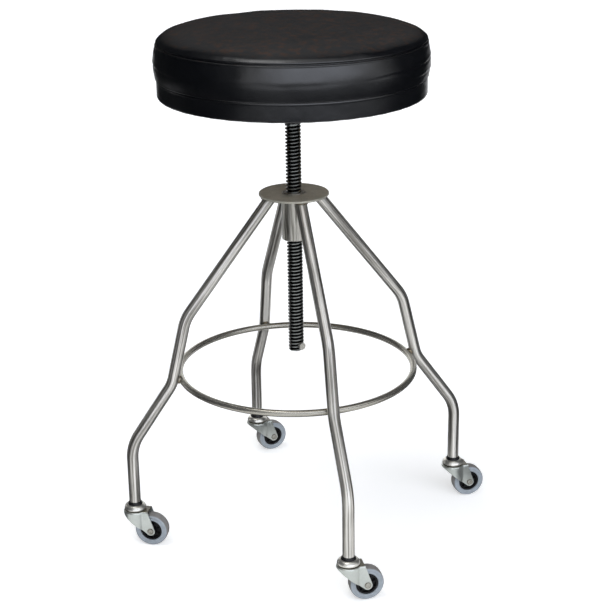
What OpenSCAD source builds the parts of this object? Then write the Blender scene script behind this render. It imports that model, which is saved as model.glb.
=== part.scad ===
// Revolving medical exam stool with a screw-adjusted round seat, four bent tube legs,
// a welded foot ring and four swivel casters.
// Millimetres. The origin lies on the floor under the lift screw, +Z up, and the legs
// stand on the diagonals of X and Y.

/* [Seat] */
// Diameter of the seat at its top seam
seat_d = 366; // [300:1:430]
// Height of the padded side, from the lower seam to the top seam
pad_h = 47.8; // [30:0.1:75]
// Rise of the crowned top above the top seam
crown_h = 21; // [8:0.5:36]
// How far the padded side swells past the seams
pad_bulge = 3.6; // [0:0.1:8]
// How far the lower end of the padded side stands past the top seam
pad_flare = 1.8; // [0.4:0.1:5]
// How far the plain skirt below the padded side stands past the top seam
skirt_flare = 0.8; // [0:0.1:3]
// Depth of the crease at each seam
seam_depth = 1.1; // [0.3:0.1:2.5]
// Half the width of the crease at each seam
seam_half_w = 0.9; // [0.4:0.1:2]
// Height of the lower seam above the top of the seat board
seam_above_board = 5.5; // [2:0.1:12]
// Thickness of the vinyl cover
cover_t = 1.4; // [0.8:0.1:2.4]
// Rounding of the cover at the seat's lower edge
skirt_round = 3; // [2.6:0.1:5]
// Width of the cover's hem under the seat board
hem_w = 32; // [18:1:60]
// Thickness of the plywood seat board
board_t = 18; // [12:0.5:24]

/* [Seat mounting] */
// Diameter of the steel mounting disc under the seat board
mount_d = 150; // [120:1:200]
// Thickness of the mounting disc
mount_t = 4; // [3:0.1:6]
// Height of the boss that holds the top of the lift screw
boss_h = 38.5; // [24:0.5:60]
// Wall of the boss
boss_wall = 3; // [2:0.1:6]
// Diameter of the circle on which the mounting screws lie
mount_screw_circle = 116; // [84:1:118]
// Shank diameter of the mounting screws
mount_screw_d = 6; // [4:0.1:7]
// Length of the mounting screws under the head
mount_screw_l = 20; // [14:0.5:21]
// Head diameter of the mounting screws
mount_head_d = 12; // [9:0.1:14]
// Head height of the mounting screws
mount_head_h = 3.6; // [2.4:0.1:5]
// Flange diameter of the tee nuts in the seat board
tee_flange_d = 22; // [16:0.5:26]
// Flange thickness of the tee nuts
tee_flange_t = 1.5; // [1:0.1:2]
// Wall of the tee nuts' barrels
tee_wall = 1.4; // [0.8:0.1:2.4]
// Length of the tee nuts' barrels in the board
tee_barrel_l = 9; // [6:0.5:11]

/* [Lift screw] */
// Crest diameter of the lift screw
screw_d = 22; // [18:0.1:26]
// Rise of the seat in one turn, which is the pitch of the thread
thread_pitch = 5; // [4:0.1:6]
// Depth of the thread
thread_depth = 2.4; // [1.5:0.1:3]
// Width of the thread's crest
crest_w = 1.5; // [1:0.1:2.2]
// Width of the thread's flank, measured along the screw
flank_w = 0.8; // [0.3:0.1:0.9]
// Length of screw below the hub, with the seat as photographed
screw_hang = 168; // [90:1:190]
// Gap between the boss and the wear washer, with the seat as photographed
seat_lift_gap = 98; // [40:1:140]
// Outside diameter of the wear washer on the top plate
washer_d = 31; // [28:0.5:44]
// Thickness of the wear washer
washer_t = 1.2; // [0.8:0.1:3]
// Shank diameter of the stop bolt near the screw's lower end
stop_d = 6; // [4:0.1:7]
// Width across the flats of the stop bolt's head
stop_af = 10; // [8:0.1:12]
// Height of the stop bolt's head
stop_head_h = 4.2; // [2.5:0.1:6]
// Height of the stop bolt above the screw's lower end
stop_up = 9; // [7.5:0.1:20]
// Direction of the stop bolt as photographed, in degrees from +X
stop_turn = -23; // [-180:1:180]

/* [Top plate and hub] */
// Height of the top plate's upper face above the floor
frame_h = 507.5; // [440:0.5:600]
// Diameter of the top plate
plate_d = 98; // [94:1:130]
// Thickness of the top plate
plate_t = 3.2; // [2.5:0.1:6]
// Length of the hub from the top plate's upper face down
hub_l = 67.5; // [40:0.5:110]
// Wall of the hub
hub_wall = 6.45; // [4:0.05:9]
// Width of the chamfer at the mouth of the hub's bore
hub_chamfer = 2.6; // [1:0.1:3.5]
// Leg length of the weld fillets
weld_leg = 2.4; // [1.2:0.1:3.4]

/* [Legs and foot ring] */
// Outside diameter of the leg tube
tube_d = 16.5; // [14:0.1:20]
// Wall of the leg tube
tube_wall = 1.5; // [1:0.1:2.5]
// Space between the hub and the legs at the top plate
hub_leg_gap = 3.9; // [3.5:0.1:12]
// Distance of the upper knee from the screw's axis
upper_knee_r = 161; // [130:1:175]
// Height of the upper knee above the floor
upper_knee_z = 337; // [300:1:380]
// Bend radius of the upper knee
upper_bend = 61; // [35:1:90]
// Distance of the middle knee from the screw's axis
mid_knee_r = 183.7; // [165:0.1:200]
// Height of the middle knee above the floor
mid_knee_z = 241.7; // [215:0.1:275]
// Bend radius of the middle knee
mid_bend = 50; // [30:1:80]
// Distance of the caster stems from the screw's axis
stem_r = 246; // [220:1:275]
// Height of the foot knee above the floor
foot_knee_z = 154.5; // [140:0.5:185]
// Bend radius of the foot knee
foot_bend = 60; // [35:1:80]
// Height of the foot ring above the floor
ring_z = 246; // [210:1:300]
// Diameter of the foot ring's rod
rod_d = 9.5; // [7:0.1:13]
// Diameter of the weld beads between the ring and the legs
bead_d = 12; // [8:0.5:15]

/* [Casters] */
// Diameter of the wheels over the tread
wheel_d = 48; // [40:0.5:60]
// Width of the tread
tyre_w = 17; // [12:0.5:18]
// Outside diameter of the black wheel core
core_d = 31; // [24:0.5:36]
// Width of the wheel core at its hub
core_w = 19.4; // [18.4:0.1:21]
// Diameter of the wheel core's hub
core_hub_d = 13.5; // [11:0.5:16]
// Thickness of the wheel core's web
core_web = 5; // [3:0.5:9]
// Thickness of the wheel core's rim
core_rim = 2.6; // [1.5:0.1:4]
// Rounding of the tread's shoulders
tread_round = 3; // [1:0.1:5]
// Distance from the swivel axis back to the axle
trail = 24; // [18:0.5:30]
// Thickness of the fork's steel
fork_t = 2; // [1.5:0.1:2.6]
// Diameter of the fork's round crown
fork_crown_d = 34; // [32:0.5:40]
// Rounding along the fork's upper edges
fork_edge_r = 2.2; // [0.8:0.1:3.5]
// Height of the fork's wall at its front
fork_front_h = 2.4; // [2:0.1:10]
// Distance from the swivel axis to the fork's rear corners
fork_rear = 20.5; // [18:0.5:26]
// Radius of the fork's cheeks round the axle
cheek_r = 6.4; // [5.5:0.1:9]
// Space between the top of the wheel and the fork's crown
wheel_gap = 4; // [2:0.1:8]
// Diameter of the axle rivet
axle_d = 6; // [5:0.1:7]
// Diameter of the axle rivet's head
axle_head_d = 9.2; // [8.2:0.1:12]
// Height of the axle rivet's head
axle_head_h = 1.7; // [1:0.1:3]
// Wall of the steel sleeve on the axle
sleeve_wall = 1; // [0.6:0.1:1.8]
// Diameter of the balls in the swivel race
ball_d = 4.4; // [3:0.1:5]
// Number of balls in each swivel race
ball_count = 14; // [8:1:14]
// Diameter of the circle on which the balls run
race_d = 23; // [21:0.5:24]
// Outside diameter of the domed race cover
dome_d = 31.5; // [29:0.5:34]
// Height of the domed race cover
dome_h = 6.4; // [5:0.1:9]
// Thickness of the race cover's shell
dome_t = 1.3; // [0.8:0.1:1.6]
// Diameter of the king pin through the fork
king_d = 7; // [5:0.1:8]
// Diameter of the king pin's riveted head
king_head_d = 12; // [9.5:0.1:15]
// Height of the king pin's riveted head
king_head_h = 2.2; // [1.2:0.1:3]
// Diameter of the caster stem in its socket
stem_d = 10; // [9:0.1:11]
// Length of the caster stem in its socket
stem_l = 36; // [22:1:45]
// Height of the socket's flange at the tube's end
flange_h = 4.2; // [2:0.1:8]
// How far the socket's flange spreads past the tube
flange_spread = 2.2; // [1:0.1:4]
// How far each caster has swung, in degrees from +X
swivel_at_rest = [19, 41, 44, 54];

/* [Hidden] */
$fn = 48;
// Radial clearance of pieces that turn or slide on each other
run_gap = 0.05;
// Clearance between pieces that stay together
seat_gap = 0.1;
// Clearance left where a travel ends at a stop
stop_gap = 0.3;
// Clearance round soft pieces
soft_gap = 0.3;
// How far each straight run of tube reaches into the bends beside it
bend_lap = 0.5;
// How much thicker the tube is at its bends, so that the runs end inside them
bend_swell = 0.08;
// How far a cut runs past what it cuts
past = 1;
// Chamfer on the edges of turned pieces
edge = 1;

corner_names = ["front_left", "front_right", "back_right", "back_left"];
leg_turn = [225, 315, 45, 135];

// Heights, from the floor up
axle_z = wheel_d / 2;
crown_z = wheel_d + wheel_gap;
crown_top = crown_z + fork_t;
ball_z = crown_top + ball_d / 2 + run_gap;
dome_rim_z = crown_top + ball_d / 2;
dome_top = dome_rim_z + dome_h;
flange_z = dome_top + seat_gap;
tube_z = flange_z + flange_h;
hub_z = frame_h - hub_l;
screw_z = hub_z - screw_hang;
washer_z = frame_h + seat_gap;
boss_z = washer_z + washer_t + seat_lift_gap;
mount_z = boss_z + boss_h;
board_z = mount_z + mount_t + seat_gap;
board_top = board_z + board_t;
cover_z = board_z - seat_gap - cover_t;
low_seam_z = board_top + seam_above_board;
top_seam_z = low_seam_z + pad_h;

// Radii about the screw's axis
seam_r = seat_d / 2;
skirt_r = seam_r + skirt_flare;
hem_r = skirt_r - hem_w;
board_r = skirt_r - cover_t - soft_gap;
bore_r = screw_d / 2 + run_gap;
hub_r = bore_r + hub_wall;
boss_r = screw_d / 2 + seat_gap + boss_wall;
mount_screw_r = mount_screw_circle / 2;

// Travel of the seat either way from where it stands in the photograph
travel_down = seat_lift_gap - stop_gap;
travel_up = hub_z - stop_gap - (screw_z + stop_up + stop_af / sqrt(3));

// Widths inside the casters
fork_in = core_w + 6 * seat_gap;
fork_out = fork_in + 2 * fork_t;
sleeve_r = axle_d / 2 + seat_gap + sleeve_wall;
socket_bore = stem_d / 2 + seat_gap;
socket_r = tube_d / 2 - tube_wall - seat_gap;

caster_parts = ["socket", "stem", "race_cover", "race_balls", "fork", "axle", "axle_sleeve",
    "wheel_core", "tyre"];

// Points along an arc, as offsets from its centre turned from angle a to angle b
function arc_points(cx, cy, r, a, b, n) = [for (i = [0:n]) let (t = a + (b - a) * i / n)
    [cx + r * cos(t), cy + r * sin(t)]];

function reversed(list) = [for (i = [len(list) - 1:-1:0]) list[i]];

function unit(v) = v / norm(v);

// The lower seam's crease on the side of the seat, set in by a distance
function crease_points(inset) = [[skirt_r - inset, low_seam_z - seam_half_w],
    [skirt_r - seam_depth - inset, low_seam_z]];

// The side of the seat from its lower edge up to the lower seam, set in by a distance
function skirt_points(inset) = concat(
    arc_points(skirt_r - skirt_round, cover_z + skirt_round, skirt_round - inset, -90, 0, 4),
    crease_points(inset));

// The padded side and the crown, from the lower seam to the centre, set in by a distance.
// The crown is a flattened dome: the fourth power of the radius against the square of the height.
function pad_points(inset) = concat(
    [[seam_r + pad_flare - inset, low_seam_z + seam_half_w]],
    [for (i = [1:8]) let (t = i / 9)
        [seam_r + pad_flare * (1 - t) + pad_bulge * 4 * t * (1 - t) - inset,
            low_seam_z + pad_h * t]],
    [[seam_r - inset, top_seam_z - seam_half_w],
        [seam_r - seam_depth - inset, top_seam_z]],
    [for (a = [86, 79, 71, 62, 53, 44, 35, 26, 17, 9, 4])
        [(seam_r - seam_depth / 2 - inset) * sqrt(sin(a)), top_seam_z + (crown_h - inset) * cos(a)]],
    [[0, top_seam_z + (crown_h - inset) * cos(4)]]);

module seat_cover() {
    color("#17181c")
        rotate_extrude($fn = 96)
            polygon(concat(
                [[hem_r, cover_z]],
                skirt_points(0),
                pad_points(0),
                reversed(pad_points(cover_t)),
                reversed(skirt_points(cover_t)),
                [[hem_r, cover_z + cover_t]]));
}

module seat_foam() {
    color("#d9cf9a")
        difference() {
            rotate_extrude($fn = 96)
                polygon(concat(
                    [[0, board_top + seat_gap], [board_r, board_top + seat_gap]],
                    crease_points(cover_t + soft_gap),
                    pad_points(cover_t + soft_gap)));
            at_mount_screws()
                translate([0, 0, board_top - past])
                    cylinder(d = tee_flange_d + 2 * soft_gap,
                        h = past + seat_gap + tee_flange_t + soft_gap);
        }
}

module at_mount_screws() {
    for (a = [0:90:270])
        rotate([0, 0, a])
            translate([mount_screw_r, 0, 0])
                children();
}

module seat_board() {
    tee_hole_d = mount_screw_d + 2 * (2 * seat_gap + tee_wall);
    color("#b98d5a")
        difference() {
            rotate_extrude($fn = 96)
                polygon([[0, board_z], [board_r - edge, board_z], [board_r, board_z + edge],
                    [board_r, board_top - edge], [board_r - edge, board_top], [0, board_top]]);
            at_mount_screws()
                translate([0, 0, board_z - past])
                    cylinder(d = tee_hole_d, h = board_t + 2 * past);
        }
}

module tee_nuts() {
    barrel_r = mount_screw_d / 2 + seat_gap + tee_wall;
    color("#9ba1a6")
        at_mount_screws()
            translate([0, 0, board_top + seat_gap])
                difference() {
                    union() {
                        cylinder(d = tee_flange_d, h = tee_flange_t);
                        translate([0, 0, -tee_barrel_l])
                            cylinder(r = barrel_r, h = tee_barrel_l);
                    }
                    translate([0, 0, -tee_barrel_l - past])
                        cylinder(d = mount_screw_d + 2 * seat_gap,
                            h = tee_barrel_l + tee_flange_t + 2 * past);
                }
}

module mount_disc() {
    color("#3a3b3d")
        difference() {
            rotate_extrude($fn = 64)
                polygon([[0, mount_z], [mount_d / 2 - edge, mount_z], [mount_d / 2, mount_z + edge],
                    [mount_d / 2, mount_z + mount_t], [0, mount_z + mount_t]]);
            at_mount_screws()
                translate([0, 0, mount_z - past])
                    cylinder(d = mount_screw_d + 6 * seat_gap, h = mount_t + 2 * past);
        }
}

module mount_screws() {
    dome = mount_head_h / 3;
    head_r = mount_head_d / 2;
    color("#c9ccce")
        at_mount_screws()
            translate([0, 0, mount_z - seat_gap])
                rotate_extrude()
                    polygon([[0, -mount_head_h], [head_r - dome, -mount_head_h],
                        [head_r, dome - mount_head_h],
                        [head_r, 0], [mount_screw_d / 2, 0], [mount_screw_d / 2, mount_screw_l - edge],
                        [mount_screw_d / 2 - edge, mount_screw_l], [0, mount_screw_l]]);
}

module screw_boss() {
    inner = boss_r - boss_wall;
    color("#26272a")
        rotate_extrude()
            polygon([[inner, boss_z + edge], [inner + edge, boss_z], [boss_r - edge, boss_z],
                [boss_r, boss_z + edge], [boss_r, mount_z - weld_leg],
                [boss_r + weld_leg, mount_z - seat_gap],
                [inner, mount_z - seat_gap]]);
}

// The thread is drawn as level ridges at its pitch, each with the section of the real one.
module lift_screw() {
    crest_r = screw_d / 2;
    root_r = crest_r - thread_depth;
    ridge_w = crest_w + 2 * flank_w;
    thread_z = screw_z + thread_pitch / 2;
    turns = floor((boss_z - thread_z) / thread_pitch);
    color("#2a2b2c")
        difference() {
            rotate_extrude()
                polygon(concat(
                    [[0, screw_z], [root_r - edge, screw_z], [root_r, screw_z + edge]],
                    [for (i = [0:turns - 1]) let (z = thread_z + i * thread_pitch)
                        each [[root_r, z], [crest_r, z + flank_w], [crest_r, z + flank_w + crest_w],
                            [root_r, z + ridge_w]]],
                    [[root_r, boss_z - flank_w], [crest_r, boss_z], [crest_r, mount_z - 2 * seat_gap],
                        [0, mount_z - 2 * seat_gap]]));
            at_stop()
                cylinder(d = stop_d + 2 * seat_gap, h = screw_d);
        }
}

// Puts its children on the stop bolt's axis, which runs out from the screw's
module at_stop() {
    rotate([0, 0, stop_turn])
        translate([0, 0, screw_z + stop_up])
            rotate([0, 90, 0])
                children();
}

module stop_bolt() {
    under_head = screw_d / 2 + seat_gap;
    color("#c4c8ca")
        at_stop() {
            translate([0, 0, seat_gap])
                cylinder(d = stop_d, h = under_head);
            translate([0, 0, under_head])
                intersection() {
                    cylinder(d = stop_af / cos(30), h = stop_head_h, $fn = 6);
                    cylinder(r1 = stop_af * 0.8, r2 = stop_af * 0.52, h = stop_head_h);
                }
        }
}

module wear_washer() {
    inner = screw_d / 2 + 2 * run_gap;
    edge = washer_t / 3;
    color("#77756f")
        rotate_extrude()
            polygon([[inner, washer_z], [washer_d / 2, washer_z],
                [washer_d / 2, washer_z + washer_t - edge],
                [washer_d / 2 - edge, washer_z + washer_t], [inner + edge, washer_z + washer_t],
                [inner, washer_z + washer_t - edge]]);
}

module top_plate() {
    edge = plate_t / 5;
    low = frame_h - plate_t;
    color("#56544f")
        rotate_extrude($fn = 64)
            polygon([[hub_r + seat_gap, low], [plate_d / 2 - edge, low], [plate_d / 2, low + edge],
                [plate_d / 2, frame_h - edge], [plate_d / 2 - edge, frame_h], [hub_r + seat_gap, frame_h]]);
}

module hub() {
    color("#8d8c88")
        rotate_extrude()
            polygon([[bore_r, hub_z + edge], [bore_r + edge, hub_z], [hub_r - edge, hub_z],
                [hub_r, hub_z + edge], [hub_r, frame_h], [bore_r + hub_chamfer, frame_h],
                [bore_r, frame_h - hub_chamfer]]);
}

// The leg's centre line lies in a plane through the screw's axis, as [radius, height].
plate_low = frame_h - plate_t;
upper_run = [upper_knee_r - hub_r - hub_leg_gap, plate_low - upper_knee_z];
// The tube meets the plate at a slant, so its cut end is wider than the tube.
leg_top_r = hub_r + hub_leg_gap + tube_d / 2 * norm(upper_run) / upper_run[1];
leg_line = [[leg_top_r, plate_low], [upper_knee_r, upper_knee_z], [mid_knee_r, mid_knee_z],
    [stem_r, foot_knee_z], [stem_r, tube_z]];
leg_bends = [upper_bend, mid_bend, foot_bend];

// A bend of radius r at point b between a and c: [centre, start, end]
function bend(a, b, c, r) =
    let (u = unit(a - b), w = unit(c - b), half = acos(u * w) / 2)
    [b + unit(u + w) * r / sin(half), b + u * r / tan(half), b + w * r / tan(half)];

leg_arcs = [for (i = [0:2]) bend(leg_line[i], leg_line[i + 1], leg_line[i + 2], leg_bends[i])];

// A straight rod of diameter d from a to b, longer by a distance at either end
module run_between(a, b, d, before = 0, after = 0) {
    translate([a[0], 0, a[1]])
        rotate([0, atan2(b[0] - a[0], b[1] - a[1]), 0])
            translate([0, 0, -before])
                cylinder(d = d, h = norm(b - a) + before + after);
}

// A bent rod of diameter d along an arc
module bend_between(arc, r, d) {
    a = atan2(arc[1][1] - arc[0][1], arc[1][0] - arc[0][0]);
    b = atan2(arc[2][1] - arc[0][1], arc[2][0] - arc[0][0]);
    turn = (b - a + 540) % 360 - 180;
    translate([arc[0][0], 0, arc[0][1]])
        rotate([90, 0, 0])
            rotate([0, 0, turn > 0 ? a : b])
                rotate_extrude(angle = abs(turn), $fn = 96)
                    translate([r, 0])
                        circle(d = d, $fn = 48);
}

// One leg as a solid rod of diameter d, run past both ends by a distance
module leg_rod(d, past) {
    top = leg_line[0] + unit(leg_line[0] - leg_line[1]) * (tube_d + past);
    foot = leg_line[4] - [0, past];
    run_between(top, leg_arcs[0][1], d, 0, bend_lap);
    run_between(leg_arcs[0][2], leg_arcs[1][1], d, bend_lap, bend_lap);
    run_between(leg_arcs[1][2], leg_arcs[2][1], d, bend_lap, bend_lap);
    run_between(leg_arcs[2][2], foot, d, bend_lap, 0);
    for (i = [0:2])
        bend_between(leg_arcs[i], leg_bends[i], d + bend_swell);
}

module leg(i) {
    color("#a3a29d")
        rotate([0, 0, leg_turn[i]])
            difference() {
                leg_rod(tube_d, 0);
                leg_rod(tube_d - 2 * tube_wall, past);
                translate([-tube_d * 2, -tube_d, plate_low - seat_gap / 2])
                    cube([tube_d * 8, tube_d * 2, tube_d * 4]);
            }
}

module plate_welds() {
    bead_r = tube_d / 2 + weld_leg;
    color("#7f7c75") {
        rotate_extrude()
            polygon([[hub_r + run_gap, plate_low - run_gap], [hub_r + weld_leg, plate_low - run_gap],
                [hub_r + run_gap, plate_low - weld_leg]]);
        for (a = leg_turn)
            rotate([0, 0, a])
                difference() {
                    intersection() {
                        run_between(leg_line[0] * 2 - leg_line[1], leg_line[1], 2 * bead_r);
                        translate([hub_r + weld_leg + run_gap, -bead_r, plate_low - weld_leg])
                            cube([2 * bead_r + tube_d, 2 * bead_r, weld_leg - run_gap]);
                    }
                    run_between(leg_line[0] * 2 - leg_line[1], leg_line[1], tube_d + 2 * run_gap);
                }
    }
}

// Where the ring meets the leg, it lies inside the middle knee or the run above or below it.
// Each answer is [ring radius, direction from the ring's rod to the leg's centre line].
touch = (tube_d + rod_d) / 2 + 2 * seat_gap;
knee = leg_arcs[1];
function knee_edge(k) = knee[0][1] + (knee[k][1] - knee[0][1]) * (mid_bend + touch) / mid_bend;
function beside_run(a, b) =
    let (along = unit(b - a), out = [-along[1], along[0]])
    [a[0] + (b[0] - a[0]) * (ring_z - a[1]) / (b[1] - a[1]) - touch / abs(along[1]), out];
function beside_knee() =
    let (reach = mid_bend + touch, dz = knee[0][1] - ring_z, r = knee[0][0] - sqrt(reach * reach - dz * dz))
    [r, [knee[0][0] - r, dz] / reach];
ring_seat = ring_z > knee_edge(1) ? beside_run(knee[1], leg_arcs[0][2])
    : ring_z < knee_edge(2) ? beside_run(leg_arcs[2][1], knee[2])
    : beside_knee();
ring_r = ring_seat[0];
ring_out = ring_seat[1][0] > 0 ? ring_seat[1] : -ring_seat[1];

module ring_rod(d) {
    translate([0, 0, ring_z])
        rotate_extrude($fn = 128)
            translate([ring_r, 0])
                circle(d = d, $fn = 32);
}

module foot_ring() {
    color("#9d9c97")
        ring_rod(rod_d);
}

// A bead round the point where the ring touches each leg, hollowed by both
module ring_welds() {
    at = [ring_r, ring_z] + ring_out * (rod_d / 2 + seat_gap);
    leg_at = [ring_r, ring_z] + ring_out * touch;
    along = [-ring_out[1], ring_out[0]] * bead_d;
    color("#8a867e")
        for (a = leg_turn)
            rotate([0, 0, a])
                difference() {
                    translate([at[0], 0, at[1]])
                        sphere(d = bead_d);
                    run_between(leg_at - along, leg_at + along, tube_d + 2 * run_gap);
                    translate([ring_r, 0, ring_z])
                        rotate([90, 0, 0])
                            cylinder(d = rod_d + 2 * seat_gap, h = 2 * bead_d, center = true);
                }
}

// Puts its children at a caster: the swivel axis along Z, and the wheel trailing along +X
module at_caster(i) {
    rotate([0, 0, leg_turn[i]])
        translate([stem_r, 0, 0])
            rotate([0, 0, swivel_at_rest[i] - leg_turn[i]])
                children();
}

module socket(i) {
    flange_r = tube_d / 2 + flange_spread;
    color("#1b1b1d")
        at_caster(i)
            rotate_extrude()
                polygon([[socket_bore, flange_z], [flange_r, flange_z], [flange_r, flange_z + 0.8],
                    [tube_d / 2 + 0.4, tube_z - 0.4], [tube_d / 2, tube_z - seat_gap / 2],
                    [socket_r, tube_z - seat_gap / 2], [socket_r, tube_z + stem_l],
                    [socket_bore, tube_z + stem_l]]);
}

module stem(i) {
    head_z = crown_z - seat_gap;
    color("#b9bdc0")
        at_caster(i)
            rotate_extrude()
                polygon([[0, head_z - king_head_h], [king_head_d / 2 - edge, head_z - king_head_h],
                    [king_head_d / 2, head_z - king_head_h + edge], [king_head_d / 2, head_z],
                    [king_d / 2, head_z], [king_d / 2, flange_z], [stem_d / 2, flange_z],
                    [stem_d / 2, tube_z + stem_l - 2 * edge], [stem_d / 2 - edge, tube_z + stem_l - edge],
                    [0, tube_z + stem_l - edge]]);
}

// A domed shell with a turned groove above the balls
module race_cover(i) {
    bore = king_d / 2 + seat_gap;
    shoulder = tube_d / 2 + flange_spread;
    dome_w = dome_d / 2 - shoulder;
    groove_r = ball_d / 2 + run_gap;
    inner_w = dome_w - dome_t / 3;
    outer = [for (a = [0:15:90]) [shoulder + dome_w * cos(a), dome_rim_z + dome_h * sin(a)]];
    inner_h = dome_h - dome_t;
    inner = [for (a = [90:-15:0]) [shoulder - dome_t + inner_w * cos(a), dome_rim_z + inner_h * sin(a)]];
    color("#d4d9dc")
        at_caster(i)
            difference() {
                rotate_extrude()
                    polygon(concat(outer, [[bore, dome_top], [bore, ball_z + groove_r / 2],
                        [race_d / 2, ball_z + groove_r / 2]], inner));
                translate([0, 0, ball_z])
                    rotate_extrude()
                        translate([race_d / 2, 0])
                            circle(r = groove_r);
            }
}

module race_balls(i) {
    color("#c8cdd0")
        at_caster(i)
            for (k = [0:ball_count - 1])
                rotate([0, 0, 360 * k / ball_count])
                    translate([race_d / 2, 0, ball_z])
                        sphere(d = ball_d, $fn = 24);
}

// The point where a line from p touches the cheek's round end, on the left or right of it
function cheek_touch(p, side) =
    let (to = p - [trail, axle_z], a = atan2(to[1], to[0]) + side * acos(cheek_r / norm(to)))
    [trail, axle_z] + cheek_r * [cos(a), sin(a)];

// The side view of the fork, as [trail direction, height]
module fork_side() {
    front = -fork_crown_d / 2 - past;
    nose = [front, crown_top - fork_front_h];
    heel = [fork_rear, crown_top];
    polygon([[front, crown_top + past], nose, cheek_touch(nose, 1), [trail, axle_z],
        cheek_touch(heel, -1), heel, [fork_rear, crown_top + past]]);
    translate([trail, axle_z])
        circle(r = cheek_r);
}

// A pressed steel fork: a round crown with a wall that runs back into two flat cheeks
module fork(i) {
    crown_r = fork_crown_d / 2;
    e = fork_edge_r;
    half = fork_out / 2;
    color("#b4b8b6")
        at_caster(i)
            difference() {
                intersection() {
                    union() {
                        rotate_extrude($fn = 64)
                            polygon(concat([[0, 0], [crown_r, 0]],
                                arc_points(crown_r - e, crown_top - e, e, 0, 90, 5),
                                [[0, crown_top]]));
                        rotate([90, 0, 90])
                            linear_extrude(fork_rear + trail)
                                polygon(concat([[-half, 0], [half, 0]],
                                    arc_points(half - e, crown_top - e, e, 0, 90, 5),
                                    arc_points(e - half, crown_top - e, e, 90, 180, 5)));
                    }
                    rotate([90, 0, 0])
                        linear_extrude(fork_crown_d + 2, center = true)
                            fork_side();
                }
                translate([0, 0, -past])
                    cylinder(r = crown_r - fork_t, h = crown_z + past);
                translate([0, -fork_in / 2, -past])
                    cube([trail + fork_crown_d, fork_in, crown_z + past]);
                cylinder(r = king_d / 2 + run_gap, h = crown_top + past);
                translate([trail, 0, axle_z])
                    rotate([90, 0, 0])
                        cylinder(r = axle_d / 2 + seat_gap / 2, h = fork_crown_d + 2, center = true);
            }
}

// Puts its children on the axle's axis, with Z along the axle
module at_axle(i) {
    at_caster(i)
        translate([trail, 0, axle_z])
            rotate([90, 0, 0])
                children();
}

module axle(i) {
    grip = fork_out / 2 + seat_gap / 2;
    r = axle_d / 2;
    head_r = axle_head_d / 2;
    color("#a9adab")
        at_axle(i)
            rotate_extrude()
                polygon([[0, -grip - axle_head_h], [head_r - 1.2, -grip - axle_head_h],
                    [head_r, -grip - axle_head_h / 2], [head_r, -grip], [r, -grip], [r, grip],
                    [head_r, grip], [head_r, grip + axle_head_h / 2], [head_r - 1, grip + axle_head_h],
                    [head_r - 2, grip + axle_head_h - 0.5], [0, grip + axle_head_h - 0.5]]);
}

module axle_sleeve(i) {
    color("#8f9496")
        at_axle(i)
            difference() {
                cylinder(r = sleeve_r, h = fork_in - 2 * seat_gap, center = true);
                cylinder(r = axle_d / 2 + seat_gap, h = fork_in, center = true);
            }
}

module wheel_core(i) {
    bore = sleeve_r + run_gap;
    hub_r = core_hub_d / 2;
    rim_in = core_d / 2 - core_rim;
    rim_half = tyre_w / 2 - 1.5;
    web = core_web / 2;
    half = [[bore, core_w / 2], [hub_r - 0.6, core_w / 2], [hub_r, core_w / 2 - 0.6], [hub_r + 0.5, web],
        [rim_in - 1, web], [rim_in, web + 1], [rim_in, rim_half], [core_d / 2, rim_half]];
    color("#151517")
        at_axle(i)
            rotate_extrude()
                polygon(concat(half, [for (p = reversed(half)) [p[0], -p[1]]]));
}

module tyre(i) {
    inner = core_d / 2 + run_gap;
    side = tyre_w / 2;
    half = concat([[inner, side - 0.9], [inner + 0.9, side]],
        arc_points(wheel_d / 2 - tread_round, side - tread_round, tread_round, 90, 0, 5));
    color("#8d929b")
        at_axle(i)
            rotate_extrude($fn = 96)
                polygon(concat(half, [for (p = reversed(half)) [p[0], -p[1]]]));
}

// The limits that the seat's joints take from this model
echo(travel_down = travel_down, travel_up = travel_up);

seat_cover();
seat_foam();
seat_board();
tee_nuts();
mount_disc();
mount_screws();
screw_boss();
lift_screw();
stop_bolt();
wear_washer();
top_plate();
hub();
plate_welds();
foot_ring();
ring_welds();
for (i = [0:3]) {
    at = corner_names[i];
    leg(i);
    socket(i);
    stem(i);
    race_cover(i);
    race_balls(i);
    fork(i);
    axle(i);
    axle_sleeve(i);
    wheel_core(i);
    tyre(i);
}
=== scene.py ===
from functools import partial
from math import acos, atan2, cos, degrees, hypot, pi, radians, sin, sqrt, tan

import bmesh
import bpy
import numpy as np
from mathutils import Matrix, Vector, noise


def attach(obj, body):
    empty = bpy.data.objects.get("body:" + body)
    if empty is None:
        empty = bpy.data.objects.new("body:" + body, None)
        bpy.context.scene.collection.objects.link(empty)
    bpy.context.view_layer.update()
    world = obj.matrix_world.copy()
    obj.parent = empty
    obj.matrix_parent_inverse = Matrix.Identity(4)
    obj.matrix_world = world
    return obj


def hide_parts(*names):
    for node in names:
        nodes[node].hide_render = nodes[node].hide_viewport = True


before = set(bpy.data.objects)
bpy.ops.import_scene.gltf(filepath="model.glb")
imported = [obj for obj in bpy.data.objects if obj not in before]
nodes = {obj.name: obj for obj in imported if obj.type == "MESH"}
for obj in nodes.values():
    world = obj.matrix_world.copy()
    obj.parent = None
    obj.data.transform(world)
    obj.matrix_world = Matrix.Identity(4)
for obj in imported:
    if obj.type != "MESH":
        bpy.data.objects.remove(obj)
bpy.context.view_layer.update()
scene = bpy.context.scene
norm = np.linalg.norm
mm = 0.001
corners = ["front_left", "front_right", "back_right", "back_left"]


# ---- small helpers

def linearColour(hexCode):  # sRGB hex to the linear colour that Blender shades with
    raw = [int(hexCode[i:i + 2], 16) / 255 for i in (1, 3, 5)]
    return tuple(c / 12.92 if c <= 0.04045 else ((c + 0.055) / 1.055) ** 2.4 for c in raw) + (1.0,)


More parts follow.
